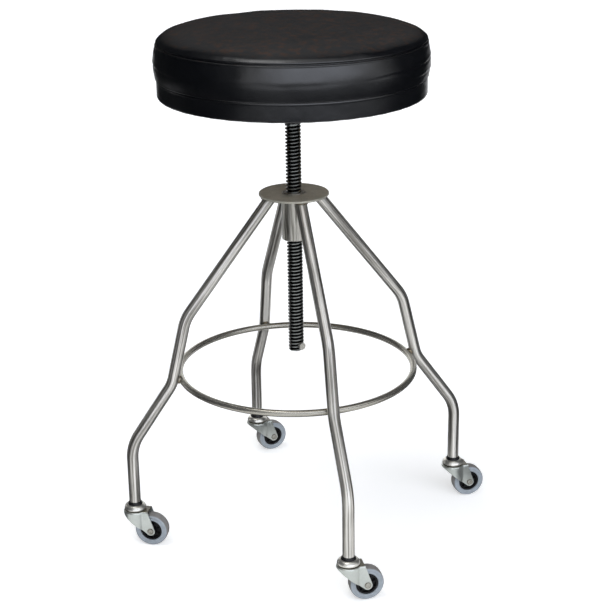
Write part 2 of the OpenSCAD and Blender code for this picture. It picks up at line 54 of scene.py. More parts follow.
def addNode(tree, kind, inputs=None, stops=None, **settings):
    # an input is a value, a socket or a node; stops fill a colour ramp
    node = tree.nodes.new("ShaderNode" + kind)
    for name, value in settings.items():
        setattr(node, name, value)
    if stops:
        ramp = node.color_ramp.elements
        while len(ramp) < len(stops):
            ramp.new(0.5)
        for element, (place, shade) in zip(ramp, stops):
            element.position, element.color = place, linearColour(shade)
    for name, value in (inputs or {}).items():
        if isinstance(value, bpy.types.Node):
            value = value.outputs[0]
        if isinstance(value, bpy.types.NodeSocket):
            tree.links.new(value, node.inputs[name])
        else:
            node.inputs[name].default_value = value
    return node


def emptyTree(owner):
    owner.use_nodes = True
    owner.node_tree.nodes.clear()
    return partial(addNode, owner.node_tree)


def newMaterial(name):
    material = bpy.data.materials.new(name)
    return material, emptyTree(material)


def setSurface(material, inputs):  # its shader's links and constants
    shader = addNode(material.node_tree, "BsdfPrincipled", inputs)
    addNode(material.node_tree, "OutputMaterial", {"Surface": shader})
    return material


def dress(obj, material):  # one material on every face
    obj.data.materials.clear()
    obj.data.materials.append(material)


def dressSolids(**materials):  # CAD solids that keep their shape
    for name, material in materials.items():
        dress(nodes[name], material)


def finishPiece(obj, material, body, slotName, *standsFor, place=None):
    dress(obj, material)
    if place:  # into the mesh, so the piece's coordinates are the stool's
        obj.data.transform(place)
    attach(obj, body)
    if standsFor:
        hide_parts(*standsFor)


def newObject(name, data):
    obj = bpy.data.objects.new(name, data)
    scene.collection.objects.link(obj)
    return obj


def meshObject(name, points, faces):
    mesh = bpy.data.meshes.new(name)
    mesh.from_pydata(points, [], faces)
    return newObject(name, mesh)


def fullTurn(count):  # angles evenly round a full turn
    return np.arange(count) * 2 * pi / count


def spun(radius, height, turn):  # points at these radii and heights, turned about Z
    x = radius * np.cos(turn)
    return np.stack([x, radius * np.sin(turn), np.broadcast_to(height, x.shape)], -1)


def onCircle(turn):
    return np.stack([np.cos(turn), np.sin(turn)], -1)


def alongLine(points):  # length along a line up to each point
    return np.concatenate([[0], np.cumsum(norm(np.diff(points, axis=0), axis=1))])


def unitRows(rows):
    return rows / norm(rows, axis=1, keepdims=True)


def gridPiece(name, points, closed=False, capFirst=False, capLast=False, uv=None):
    # points is rows x columns x 3, in mm; closed joins the last row to the first
    rows, columns = points.shape[:2]
    i, j = np.meshgrid(np.arange(rows if closed else rows - 1), np.arange(columns), indexing="ij")
    after, beside = (i + 1) % rows, (j + 1) % columns
    faces = np.stack([i * columns + j, i * columns + beside, after * columns + beside, after * columns + j], -1)
    faces = faces.reshape(-1, 4).tolist()
    if capFirst:
        faces.append(list(range(columns))[::-1])
    if capLast:
        faces.append(list(range((rows - 1) * columns, rows * columns)))
    obj = meshObject(name, (points.reshape(-1, 3) * mm).tolist(), faces)
    mesh = obj.data
    if uv is not None:  # in metres, so a brushed finish keeps its real scale
        perColumn, along = uv
        u = np.stack([j, j + 1, j + 1, j], -1) * perColumn * mm
        v = np.stack([along[i], along[i], along[after], along[after]], -1) * mm
        flat = np.zeros((len(mesh.loops), 2))
        flat[:u.size, 0], flat[:u.size, 1] = u.reshape(-1), v.reshape(-1)
        mesh.uv_layers.new(name="surface").data.foreach_set("uv", flat.astype(np.float32).reshape(-1))
    work = bmesh.new()
    work.from_mesh(mesh)
    bmesh.ops.recalc_face_normals(work, faces=work.faces)
    work.to_mesh(mesh)
    work.free()
    mesh.shade_smooth()
    return obj


def revolve(name, profile, columns=96, closed=True):  # profile is (radius, height) in mm about Z
    profile = np.array(profile, float)
    return gridPiece(name, spun(profile[:, :1], profile[:, 1:], fullTurn(columns)), closed)


def softenEdges(obj, width, angle=30):  # a real edge's small radius catches the light
    bevel = obj.modifiers.new("edges", "BEVEL")
    bevel.width, bevel.segments, bevel.limit_method, bevel.angle_limit = width * mm, 2, "ANGLE", radians(angle)
    bevel.harden_normals = True


def creaseOver(obj, angle):  # edges sharper than this stay hard
    obj.data.set_sharp_from_angle(angle=radians(angle))


def arc(cx, cy, r, a, b, steps, high=None):  # points on an arc, angles in degrees; high makes it an ellipse's
    t = np.radians(np.linspace(a, b, steps))
    return [(cx + r * cos(x), cy + (high or r) * sin(x)) for x in t]


# ---- camera: fitted to the legs, ring, top plate and seat of the photograph

camera = {"azimuth": 29.16, "elevation": 19.97, "roll": -0.80, "place": (1011.6, -1788.5, 1088.1), "lens": 90.57,
          "sensor": 36.0}


def compass(azimuth, elevation):  # unit vector; azimuth 0 is at -Y, 90 at +X
    a, e = radians(azimuth), radians(elevation)
    return Vector((sin(a) * cos(e), -cos(a) * cos(e), sin(e)))


def makeCamera():
    back, right = compass(camera["azimuth"], camera["elevation"]), compass(camera["azimuth"] + 90, 0)
    up, r = back.cross(right), radians(camera["roll"])
    right, up = cos(r) * right + sin(r) * up, cos(r) * up - sin(r) * right
    eye = newObject("camera", bpy.data.cameras.new("camera"))
    eye.data.lens, eye.data.sensor_width = camera["lens"], camera["sensor"]
    eye.data.clip_start, eye.data.clip_end = 0.05, 60
    pose = Matrix((right, up, back)).transposed().to_4x4()
    pose.translation = Vector(camera["place"]) * mm
    eye.matrix_world = pose
    scene.camera = eye


makeCamera()
print("camera set")


# ---- materials

def vinylMaterial():
    # Calendered PVC upholstery vinyl with a fine leather grain: black and satin. Its top is painted lighter and faintly
    # brown: partly wear, partly a painted sheen standing in for the light the top reflects
    look = {"black": "#06070a", "topWearAndSheen": "#282726", "handledTopAndSheen": "#212223", "mottle": "#412d21", "mottleMm": 9,
            "grainMm": 1.3, "poreMm": 0.7, "embossMm": 0.12, "rubMm": 38, "slackMm": 24, "pullMm": 0.9}
    material, add = newMaterial("calenderedBlackVinyl")
    place = add("TexCoord").outputs
    up = add("SeparateXYZ", {0: place["Normal"]})
    # faces turned up get the top tones: wear, and a painted sheen for the light the top reflects
    top = add("MapRange", {"Value": up.outputs["Z"], "From Min": 0.85, "From Max": 0.975})
    blotch = add("TexNoise", {"Vector": place["Object"], "Scale": 1 / (look["mottleMm"] * mm), "Detail": 5,
                              "Roughness": 0.62})
    spots = add("ValToRGB", {0: blotch}, stops=[(0.34, look["handledTopAndSheen"]), (0.5, look["topWearAndSheen"]), (0.68, look["mottle"])])
    colour = add("Mix", {0: top, 6: linearColour(look["black"]), 7: spots}, data_type="RGBA")
    rub, pores, slack = (add("TexNoise", {"Vector": place["Object"], "Scale": 1 / (look[k] * mm), "Detail": detail})
                         for k, detail in (("rubMm", 3), ("poreMm", 2), ("slackMm", 2)))
    dry = add("MapRange", {"Value": rub, "From Min": 0.3, "From Max": 0.7, "To Min": 0.29, "To Max": 0.37})
    rough = add("Math", {0: top, 1: 0.22, 2: dry}, operation="MULTIPLY_ADD")
    grain = add("TexVoronoi", {"Vector": place["Object"], "Scale": 1 / (look["grainMm"] * mm),
                               "Smoothness": 0.6}, feature="SMOOTH_F1")
    relief = add("Math", {0: pores, 1: 0.5, 2: grain.outputs["Distance"]}, operation="MULTIPLY_ADD")
    emboss = add("Bump", {"Height": relief, "Strength": 0.2, "Distance": look["embossMm"] * mm})
    pull = add("Bump", {"Height": slack, "Strength": 0.5, "Distance": look["pullMm"] * mm, "Normal": emboss})
    return setSurface(material, {"Base Color": colour.outputs[2], "Roughness": rough, "Normal": pull, "IOR": 1.53,
                                 "Specular IOR Level": 0.5})


steel = {"metallic": 0.86, "cloudMm": 45, "scratchMm": 0.02, "stretched": 0.85, "alongTube": 0.25}


def brushedSteel(name, light, dark, roughness, brushMm, spread=0.05, useUv=False, wear=0.5, relief=0.12, soft=0.2):
    # Stainless or plated steel, ground along its length: streaked highlights, and a slight difference of tone
    # from streak to streak. brushMm is the streaks' width and length
    material, add = newMaterial(name)
    place = add("TexCoord").outputs
    across, along = (1 / (v * mm) for v in brushMm)
    stretch = add("Mapping", {"Vector": place["UV" if useUv else "Object"],
                              "Scale": (across, along, 1) if useUv else (across, across, along)})
    streak = add("TexNoise", {"Vector": stretch, "Scale": 1.0, "Detail": 1, "Roughness": 0.5})
    cloud = add("TexNoise", {"Vector": place["Object"], "Scale": 1 / (steel["cloudMm"] * mm), "Detail": 3})
    both = add("Mix", {0: wear, 2: streak, 3: cloud}, data_type="FLOAT")
    tone = add("ValToRGB", {0: both}, stops=[(0.5 - soft, dark), (0.5 + soft, light)])
    gloss = add("MapRange", {"Value": streak, "From Min": 0.3, "From Max": 0.7,
                             "To Min": roughness - spread, "To Max": roughness + spread})
    scratch = add("Bump", {"Height": streak, "Strength": relief, "Distance": steel["scratchMm"] * mm})
    inputs = {"Base Color": tone, "Roughness": gloss, "Normal": scratch, "Metallic": steel["metallic"]}
    if useUv:  # the highlight spreads along the tube
        tangent = add("Tangent", direction_type="UV_MAP", uv_map="surface")
        inputs.update({"Anisotropic": steel["stretched"], "Anisotropic Rotation": steel["alongTube"],
                       "Tangent": tangent})
    return setSurface(material, inputs)


def plateMaterial():
    # Mild steel plate with a thin baked olive-grey enamel, dulled by handling, with small rubs and grit
    look = {"enamel": "#9f9d90", "rubbed": "#b9b6a9", "gritMm": 1.1, "rubMm": 14, "bumpMm": 0.05}
    material, add = newMaterial("dullEnamelledPlate")
    where = add("TexCoord").outputs["Object"]
    grit, rubs = (add("TexNoise", {"Vector": where, "Scale": 1 / (look[k] * mm), "Detail": 4})
                  for k in ("gritMm", "rubMm"))
    both = add("Mix", {0: 0.5, 2: grit, 3: rubs}, data_type="FLOAT")
    tone = add("ValToRGB", {0: both}, stops=[(0.42, look["enamel"]), (0.66, look["rubbed"])])
    gloss = add("MapRange", {"Value": rubs, "To Min": 0.45, "To Max": 0.62})
    bump = add("Bump", {"Height": grit, "Strength": 0.3, "Distance": look["bumpMm"] * mm})
    return setSurface(material, {"Base Color": tone, "Roughness": gloss, "Normal": bump, "Metallic": 0.55, "IOR": 1.5})


def threadMaterial():
    # Rolled steel thread toned by radius: roots dark (oil, and painted shade), crests light (burnished, and a painted
    # highlight)
    look = {"root": "#0f0f0f", "flank": "#4b4b48", "crest": "#878a88", "rootR": 8.6, "crestR": 11.0, "smearMm": 5}
    material, add = newMaterial("oiledThreadPaintedShadeAndHighlight")
    where = add("TexCoord").outputs["Object"]
    split = add("SeparateXYZ", {0: where})
    level = add("CombineXYZ", {0: split, 1: split.outputs[1]})
    radius = add("VectorMath", {0: level}, operation="LENGTH")
    depth = add("MapRange", {"Value": radius.outputs["Value"], "From Min": look["rootR"] * mm,
                             "From Max": look["crestR"] * mm})
    smear = add("TexNoise", {"Vector": where, "Scale": 1 / (look["smearMm"] * mm), "Detail": 4})
    worn = add("Math", {0: smear, 1: 0.35, 2: depth}, operation="MULTIPLY_ADD")
    # dark at the root radius, light at the crest: painted shade and painted highlight over oil and burnish
    tone = add("ValToRGB", {0: worn}, stops=[(0.2, look["root"]), (0.85, look["flank"]), (1.0, look["crest"])])
    gloss = add("MapRange", {"Value": smear, "To Min": 0.25, "To Max": 0.42})
    return setSurface(material, {"Base Color": tone, "Roughness": gloss, "Metallic": 1.0})


def polymer(name, colour, speck, roughness, grainMm, bumpMm, ior=1.5, level=0.5):
    # Moulded rubber or plastic, a baked film, or grease with painted shade: a fine even texture with a little dust on
    # it
    material, add = newMaterial(name)
    where = add("TexCoord").outputs["Object"]
    grain = add("TexNoise", {"Vector": where, "Scale": 1 / (grainMm * mm), "Detail": 3})
    dust = add("TexNoise", {"Vector": where, "Scale": 1 / (grainMm * 9 * mm), "Detail": 5, "Roughness": 0.65})
    tone = add("ValToRGB", {0: dust}, stops=[(0.4, colour), (0.72, speck)])
    gloss = add("MapRange", {"Value": dust, "From Min": 0.3, "From Max": 0.7,
                             "To Min": roughness - 0.06, "To Max": roughness + 0.06})
    bump = add("Bump", {"Height": grain, "Strength": 0.3, "Distance": bumpMm * mm})
    return setSurface(material, {"Base Color": tone, "Roughness": gloss, "Normal": bump, "IOR": ior,
                                 "Specular IOR Level": level})


def plywoodMaterial():
    # Rotary-cut birch plywood, bare: pale broad figure with darker growth lines
    look = {"line": "#8f6c43", "wood": "#b8925f", "pale": "#caa876", "figureMm": (150, 9), "warpMm": 60, "bumpMm": 0.2}
    material, add = newMaterial("bareBirchPlywood")
    where = add("TexCoord").outputs["Object"]
    warp = add("TexNoise", {"Vector": where, "Scale": 1 / (look["warpMm"] * mm), "Detail": 3})
    bend = add("VectorMath", {0: warp.outputs["Color"], 1: (0.02, 0.035, 0)}, operation="MULTIPLY")
    moved = add("VectorMath", {0: where, 1: bend}, operation="ADD")
    stretch = add("Mapping", {"Vector": moved, "Scale": [1 / (v * mm) for v in look["figureMm"]] + [1]})
    figure = add("TexNoise", {"Vector": stretch, "Scale": 1.0, "Detail": 5, "Roughness": 0.55})
    tone = add("ValToRGB", {0: figure}, stops=[(0.35, look["line"]), (0.5, look["wood"]), (0.7, look["pale"])])
    bump = add("Bump", {"Height": figure, "Strength": 0.2, "Distance": look["bumpMm"] * mm})
    return setSurface(material, {"Base Color": tone, "Normal": bump, "Roughness": 0.68, "IOR": 1.5})


def weldMaterial():
    # Wire-brushed fusion weld in stainless steel: rippled bead with straw and brown heat tint
    look = {"bead": "#8f8c84", "straw": "#847a68", "brown": "#6d5f4c", "tintMm": 6, "rippleMm": 1.6, "bumpMm": 0.3}
    material, add = newMaterial("brushedStainlessWeld")
    where = add("TexCoord").outputs["Object"]
    tint, ripple = (add("TexNoise", {"Vector": where, "Scale": 1 / (look[k] * mm), "Detail": detail})
                    for k, detail in (("tintMm", 4), ("rippleMm", 2)))
    tone = add("ValToRGB", {0: tint}, stops=[(0.36, look["bead"]), (0.52, look["straw"]), (0.68, look["brown"])])
    gloss = add("MapRange", {"Value": ripple, "To Min": 0.3, "To Max": 0.55})
    bump = add("Bump", {"Height": ripple, "Strength": 0.6, "Distance": look["bumpMm"] * mm})
    return setSurface(material, {"Base Color": tone, "Roughness": gloss, "Normal": bump, "Metallic": 1.0})


vinyl = vinylMaterial()
tubeSteel = brushedSteel("satinStainlessTube", "#d9d6cf", "#7d7a74", 0.325, (2.7, 170), 0.045, useUv=True, wear=0.15,
                         relief=0.08, soft=0.1)  # coarser than real brush lines, to show
rodSteel = brushedSteel("satinStainlessRod", "#b5b2a8", "#86837a", 0.22, (1.4, 60), 0.04, useUv=True, wear=0.3)
hubSteel = brushedSteel("turnedStainlessHub", "#cfccc4", "#6c6a63", 0.33, (1.6, 40), wear=0.15)
zincSteel = brushedSteel("brightZincPlate", "#bdc1bc", "#a5a9a3", 0.33, (1.2, 3), wear=0.7)  # sleek pale green-grey
chromeSteel = brushedSteel("polishedChromePlate", "#cfcdc5", "#b9b8b2", 0.3, (7, 7), 0.02, relief=0.02)
boltSteel = brushedSteel("brightZincBolt", "#dcdad2", "#b3b0a7", 0.26, (0.6, 2))
washerSteel = brushedSteel("greySteelWasher", "#a09e96", "#807e77", 0.42, (0.6, 2), 0.07)
rivetSteel = brushedSteel("tumbledSteelRivet", "#aaa89f", "#86847b", 0.36, (0.7, 1.2), 0.07)
blackSteel = polymer("blackStoveEnamel", "#141415", "#232322", 0.36, 1.2, 0.03)
# also painted shade: under the race cover on the fork's crown, and on the rivet heads' flanks
greaseAndShadeZinc = polymer("greaseAndPaintedShadeZinc", "#474234", "#6a6453", 0.38, 1.4, 0.03)
tyreRubber = polymer("mouldedGreyRubber", "#8f969b", "#82878a", 0.58, 0.9, 0.05, ior=1.52)
treadRubber = polymer("wornGreyTread", "#807e7b", "#6b6865", 0.68, 1.1, 0.09, ior=1.52)
coreNylon = polymer("mouldedBlackNylon", "#050506", "#0a090b", 0.44, 0.8, 0.03, ior=1.53, level=0.22)
socketPlastic = polymer("mouldedBlackPolyethylene", "#0c0b0d", "#171618", 0.42, 0.9, 0.03, ior=1.51, level=0.3)
plateSteel = plateMaterial()
threadSteel = threadMaterial()
weldSteel = weldMaterial()
plywood = plywoodMaterial()
print("materials made")


# ---- seat cushion

cushion = {
    "seamR": 183.0, "topSeamZ": 720.7, "crown": 21.0, "lowSeamZ": 672.9, "flare": 1.8, "bulge": 3.6,
    "skirtR": 183.8, "bottomZ": 647.9, "bottomRound": 3.0, "hemR": 151.8, "hemTurn": 1.4,
    "columns": 288, "centreGap": 6.0, "crownStep": 5.0, "sideStep": 1.4, "fineStep": 0.55, "stepGrowth": 0.22,
    # seams and the ridges of cloth beside them: which seam, height, how far below it, half width
    "welts": [("top", -1.5, 0, 0.9), ("low", -0.8, 0, 0.9), ("top", 0.55, 2.2, 1.0), ("top", 0.35, -2.4, 1.2),
              ("low", 0.3, -2.0, 1.2), ("low", 0.4, 1.6, 0.9)],
    "puckers": [(0.3, 5.5), (0.22, 13)], "stuffing": (0.32, 27),  # height and size of each unevenness
    "pleats": 22, "pleatHigh": 0.55, "pleatFade": 9, "pinchAt": -100, "pinchDepth": 0.5, "pinchBelow": -5,
    # the cloth that is blown up, and what is kept of its waves
    "topRows": 20, "sideRows": 24, "clothColumns": 120, "startShare": 0.985, "startSunk": 3.0,
    "frames": 20, "pressure": 4.0, "seamHold": 0.25, "cap": 7.0, "keepWaves": 0.3, "waveTerms": 18,
    # creases of the padded side: middle and half length in degrees, share of its height, depth, width, lean
    "creases": [(14, 48, 0.54, 1.1, 1.5, 0.05), (22, 34, 0.22, 1.1, 1.4, -0.04), (-152, 46, 0.44, 0.9, 2.0, -0.05),
                (118, 38, 0.5, 0.55, 1.8, 0.06), (-60, 30, 0.47, 0.22, 3.0, 0.0)],
}


def cushionOutline():
    # dense outline from the crown's centre over the side to the hem, with the length along it
    c = cushion
    r, skirtR, bottom, low = c["bottomRound"], c["skirtR"], c["bottomZ"], c["lowSeamZ"]
    a = np.linspace(0, pi / 2, 400)
    crown = np.stack([c["seamR"] * np.sqrt(np.sin(a)), c["topSeamZ"] + c["crown"] * np.cos(a)], 1)
    t = np.linspace(1, 0, 200)[1:]
    side = np.stack([c["seamR"] + c["flare"] * (1 - t) + c["bulge"] * 4 * t * (1 - t),
                     low + (c["topSeamZ"] - low) * t], 1)
    skirt = np.linspace((skirtR, low - 0.5), (skirtR, bottom + r), 80)
    rounded = np.array(arc(skirtR - r, bottom + r, r, 0, -90, 20))[1:]
    hem = np.linspace((skirtR - r, bottom), (c["hemR"], bottom), 60)[1:]
    line = np.concatenate([crown, side, skirt, rounded, hem])
    length = alongLine(line)
    top, seam, edge = np.cumsum([len(crown), len(side), len(skirt)]) - 1
    marks = {"top": length[top], "low": length[seam] + 0.5, "edge": length[edge], "end": length[-1]}
    return line, length, marks


def spacedAlong(marks):
    # places along the outline, closer at the seams and the lower edge
    c = cushion
    places, s = [], c["centreGap"]
    while s < marks["end"]:
        places.append(s)
        near = min(abs(s - marks["top"]), abs(s - marks["low"]), abs(s - marks["edge"] - 2))
        most = c["crownStep"] if s < marks["top"] - 12 else c["sideStep"]
        s += min(most, max(c["fineStep"], near * c["stepGrowth"]))
    return np.array(places + [marks["end"]])


def onOutline(line, length, places):
    return np.stack([np.interp(places, length, line[:, k]) for k in (0, 1)], 1)


def clothWaves(line, length, marks):
    # A closed pad a little smaller than the cushion, pinned at its lower seam, is blown up as cloth. Only the way
    # each point ends off the mean of its ring is kept: the waves, added to the fitted outline
    c = cushion
    places = np.concatenate([np.linspace(7, marks["top"] - 12, c["topRows"]),
                             np.linspace(marks["top"] - 10, marks["low"] - 0.6, c["sideRows"])])
    start = onOutline(line, length, places)
    turn = fullTurn(c["clothColumns"])
    shrunk = start * [c["startShare"], 1.0] - [0, c["startSunk"]]
    shrunk[:, 1] = np.maximum(shrunk[:, 1], start[-1, 1] - 3)
    rings = spun(shrunk[:, :1], shrunk[:, 1:], turn)
    for row in rings:  # uneven foam, from which the waves start
        for point in row:
            point[2] += 1.6 * noise.noise(Vector(point) / 42 + Vector((3.1, 7.7, 1.9)))
            point[:2] *= 1 + 0.006 * noise.noise(Vector(point) / 30)
    pad = gridPiece("clothPad", rings, capFirst=True, capLast=True)
    pins = pad.vertex_groups.new(name="pins")
    for i, place in enumerate(places):
        hold = 1.0 if i >= len(places) - 2 else c["seamHold"] if abs(place - marks["top"]) < 1.6 else 0
        if hold:
            pins.add(list(range(i * len(turn), (i + 1) * len(turn))), hold, "REPLACE")
    s = pad.modifiers.new("cloth", "CLOTH").settings
    s.quality, s.mass, s.air_damping = 6, 0.4, 2.0
    s.tension_stiffness = s.compression_stiffness = 14
    s.shear_stiffness, s.bending_stiffness = 8, 1.2
    s.use_pressure, s.uniform_pressure_force = True, c["pressure"]
    s.vertex_group_mass, s.pin_stiffness = "pins", 1.0
    s.shrink_min = -0.012  # cut a little loose, so it ripples along its seams
    s.effector_weights.gravity = 0
    for f in range(1, c["frames"] + 1):
        scene.frame_set(f)
    blown = pad.evaluated_get(bpy.context.evaluated_depsgraph_get()).data
    after = np.zeros(len(blown.vertices) * 3, np.float32)
    blown.vertices.foreach_get("co", after)
    moved = after.reshape(rings.shape) / mm - rings
    far = norm(moved, axis=-1, keepdims=True)
    moved *= np.minimum(1, c["cap"] / np.maximum(far, 1e-6))
    outward = moved[..., 0] * np.cos(turn) + moved[..., 1] * np.sin(turn)
    waves = np.stack([outward, moved[..., 2]], -1)
    waves -= waves.mean(1, keepdims=True)
    scene.frame_set(1)
    bpy.data.objects.remove(pad)
    print("cloth blown up: waves of up to %.1f mm" % np.abs(waves).max())
    return places, waves


def finerGrid(places, waves, targetPlaces, columns):
    # the waves on the finer grid: Fourier terms round the seat, smooth cubics along the outline
    spectrum = np.fft.rfft(waves, axis=1)
    spectrum *= np.exp(-(np.arange(spectrum.shape[1]) / cushion["waveTerms"]) ** 2)[None, :, None]
    full = np.zeros((waves.shape[0], columns // 2 + 1, 2), complex)
    full[:, :spectrum.shape[1]] = spectrum[:, :full.shape[1]]
    wide = np.fft.irfft(full, n=columns, axis=1) * columns / waves.shape[1]
    at = np.interp(targetPlaces, places, np.arange(len(places)))
    i = np.clip(at.astype(int), 0, len(places) - 2)
    t = (at - i)[:, None, None]
    p0, p1, p2, p3 = (wide[np.clip(i + k, 0, len(places) - 1)] for k in (-1, 0, 1, 2))
    return 0.5 * (2 * p1 + (p2 - p0) * t + (2 * p0 - 5 * p1 + 4 * p2 - p3) * t ** 2
                  + (3 * p1 - p0 - 3 * p2 + p3) * t ** 3)


def groove(d, half):  # a smooth bump, 1 in its middle
    return np.exp(-(d / half) ** 2)


def makeCushion():
    c = cushion
    line, length, marks = cushionOutline()
    places = spacedAlong(marks)
    base = onOutline(line, length, places)
    tangent = unitRows(np.gradient(base, axis=0))
    outward = np.stack([-tangent[:, 1], tangent[:, 0]], 1)
    turn = fullTurn(c["columns"])
    flat = np.repeat(base[:, None, :], c["columns"], 1)
    wavePlaces, waves = clothWaves(line, length, marks)
    fine = finerGrid(wavePlaces, waves, places, c["columns"]) * c["keepWaves"]
    flat += fine * np.clip((marks["low"] - 3 - places) / 8, 0, 1)[:, None, None]
    dTop, dLow = places - marks["top"], places - marks["low"]
    rise = np.zeros(flat.shape[:2])
    rise += sum(high * groove(places - marks[seam] - below, half) for seam, high, below, half in c["welts"])[:, None]
    sideHigh = marks["low"] - marks["top"]
    sideShare = np.clip((marks["low"] - places) / sideHigh, -1, 2)
    # puckers where the cloth is gathered to the seams' stitches
    gathered = np.exp(-np.abs(dTop) / 5.5) * (np.abs(dTop) > 0.5) + 0.8 * np.exp(-np.abs(dLow) / 4.5)
    under = np.clip((places - marks["edge"]) / c["pleatFade"], 0, 1) * c["pleatHigh"]
    stuffed = base[places < marks["low"]]
    uneven, size = c["stuffing"]
    for j, angle in enumerate(turn):
        x, y = cos(angle), sin(angle)
        spot = Vector((x * c["seamR"], y * c["seamR"], 0))
        rise[:, j] += sum(noise.noise(spot / wide) * high for high, wide in c["puckers"]) * gathered
        for at, half, high, depth, wide, lean in c["creases"]:
            off = (degrees(angle) - at + 180) % 360 - 180
            if abs(off) < half:
                fade = cos(off / half * pi / 2) ** 1.3
                wander = 0.03 * noise.noise(spot / 34 + Vector((at, 0, 0)))
                d = (sideShare - (high + lean * off / half + wander)) * sideHigh
                # with a low ridge beside it
                rise[:, j] -= depth * fade * (groove(d, wide) - 0.55 * groove(d - 3.2, wide * 1.5))
        rise[:len(stuffed), j] += [uneven * noise.noise(Vector((x * r, y * r, z)) / size) for r, z in stuffed]
        # the hem's gathers under the board
        rise[:, j] += under * abs(sin(angle * c["pleats"] + 0.8 * noise.noise(spot / 25))) ** 3
    off = (turn - radians(c["pinchAt"]) + pi) % (2 * pi) - pi
    pinch = c["pinchDepth"] * np.exp(-off ** 2 / 0.006)  # beside the top seam, front left
    rise -= pinch * groove(dTop - c["pinchBelow"], 5)[:, None]
    flat += rise[..., None] * outward[:, None, :]
    points = spun(flat[..., 0], flat[..., 1], turn)
    inner = points[-1:].copy()
    inner[..., 2] = c["bottomZ"] + c["hemTurn"]  # the hem's cut edge, up to the board
    piece = gridPiece("seatCushion", np.concatenate([points, inner]), capFirst=True)
    finishPiece(piece, vinyl, "seat", "vinyl", "seat_cover", "seat_foam")
    print("cushion made: %d points" % len(piece.data.vertices))


makeCushion()


# ---- staples in the hem

staples = {"count": 54, "radius": 158.5, "long": 10.0, "half": 0.5, "proud": 0.55, "sunk": 0.1, "uneven": 0.25,
           "lean": 0.35}


def makeStaples():
    # each staple's crown lies flat on the hem, a little aslant as a hand gun leaves it
    s = staples
    section = [(-s["half"], s["sunk"]), (s["half"], s["sunk"]), (s["half"], -s["proud"]), (-s["half"], -s["proud"])]
    verts, faces = [], []
    for k in range(s["count"]):
        angle = 2 * pi * (k + s["uneven"] * noise.noise(Vector((k * 1.7, 0.3, 0)))) / s["count"]
        lean = s["lean"] * noise.noise(Vector((0.7, k * 2.3, 0.4)))
        spin = Matrix.Rotation(angle, 4, "Z") @ Matrix.Translation((s["radius"], 0, cushion["bottomZ"])) \
            @ Matrix.Rotation(pi / 2 + lean, 4, "Z")
        q = range(len(verts), len(verts) + 8)
        verts += [spin @ Vector((x, y, z)) * mm for x in (-s["long"] / 2, s["long"] / 2) for y, z in section]
        faces += [(q[n], q[(n + 1) % 4], q[(n + 1) % 4 + 4], q[n + 4]) for n in range(4)]
        faces += [(q[0], q[3], q[2], q[1]), (q[4], q[5], q[6], q[7])]
    obj = meshObject("hemStaples", verts, faces)
    softenEdges(obj, 0.15)
    finishPiece(obj, boltSteel, "seat", "bright_screw")


makeStaples()
dressSolids(seat_board=plywood, tee_nuts=zincSteel, mount_disc=blackSteel, mount_screws=boltSteel,
            screw_boss=blackSteel)
print("seat underside made")


# ---- lift screw with its real helix

screw = {"crestR": 11.0, "rootR": 8.6, "pitch": 5.0, "crest": 1.5, "flank": 0.8, "low": 272.0, "top": 645.1,
         "plainFrom": 606.8, "steps": 56, "chamfer": 1.2, "endDepth": 1.2,
         "foot": (0.25, 0.06), "edge": (0.18, 0.03), "crestIn": 0.12}  # small roundings of the ridge: out and up


def makeScrew():
    # the profile of one pitch is swept up a right-hand helix; its last row joins the next turn's first
    c = screw
    root, crest, (footR, footZ), (edgeR, edgeZ) = c["rootR"], c["crestR"], c["foot"], c["edge"]
    low, plain, pitch, steps = c["low"], c["plainFrom"], c["pitch"], c["steps"]
    fill = pitch - c["crest"] - 2 * c["flank"]
    up = fill + c["flank"]
    down = up + c["crest"]
    rows = [(root, 0), (root, fill), (root + footR, fill + footZ), (crest - edgeR, up - edgeZ),
            (crest, up + c["crestIn"]), (crest, down - c["crestIn"]), (crest - edgeR, down + edgeZ),
            (root + footR, pitch - footZ)]
    turns = int((plain - low) / pitch) + 2
    angle = np.arange(turns * steps + 1) * 2 * pi / steps
    climb = low - pitch + angle / (2 * pi) * pitch
    verts = np.zeros((len(angle), len(rows), 3))
    for k, (r, z) in enumerate(rows):
        height = climb + z
        fade = np.clip((plain - 2 - height) / 3, 0, 1)  # the thread runs out under the boss
        height = np.clip(height, low, plain)
        chamfered = root - c["endDepth"] + (height - low) / c["chamfer"] * 3.0
        verts[:, k] = spun(np.minimum(crest + (r - crest) * fade, chamfered), height, angle)
    count = len(rows)
    faces = []
    for s in range(len(angle) - 1):
        a, b, above = s * count, (s + 1) * count, (s + steps) * count
        faces += [(a + k, b + k, b + k + 1, a + k + 1) for k in range(count - 1)]
        if s + steps + 1 < len(angle):
            faces.append((a + count - 1, b + count - 1, above + count, above))
    obj = meshObject("liftScrew", (verts.reshape(-1, 3) * mm).tolist(), faces)
    work = bmesh.new()
    work.from_mesh(obj.data)
    bmesh.ops.remove_doubles(work, verts=work.verts, dist=0.01 * mm)
    bmesh.ops.dissolve_degenerate(work, edges=work.edges, dist=0.005 * mm)
    # a disc closes the lower end; a plain cylinder goes up into the boss
    bmesh.ops.create_circle(work, cap_ends=True, segments=48, radius=(root - c["endDepth"] + 0.05) * mm,
                            matrix=Matrix.Translation((0, 0, (low + 0.02) * mm)))
    bmesh.ops.reverse_faces(work, faces=[f for f in work.faces
                                         if f.calc_center_median().z < (low + 0.03) * mm and len(f.verts) > 20])
    bmesh.ops.create_cone(work, cap_ends=True, segments=64, radius1=crest * mm, radius2=crest * mm,
                          depth=(c["top"] - plain) * mm,
                          matrix=Matrix.Translation((0, 0, (c["top"] + plain) / 2 * mm)))
    work.to_mesh(obj.data)
    work.free()
    obj.data.shade_smooth()
    creaseOver(obj, 50)
    finishPiece(obj, threadSteel, "seat", "dark_screw", "lift_screw")
    print("screw made: %d faces" % len(obj.data.polygons))


makeScrew()
dressSolids(stop_bolt=boltSteel, wear_washer=washerSteel)


# ---- top plate, hub, legs and foot ring

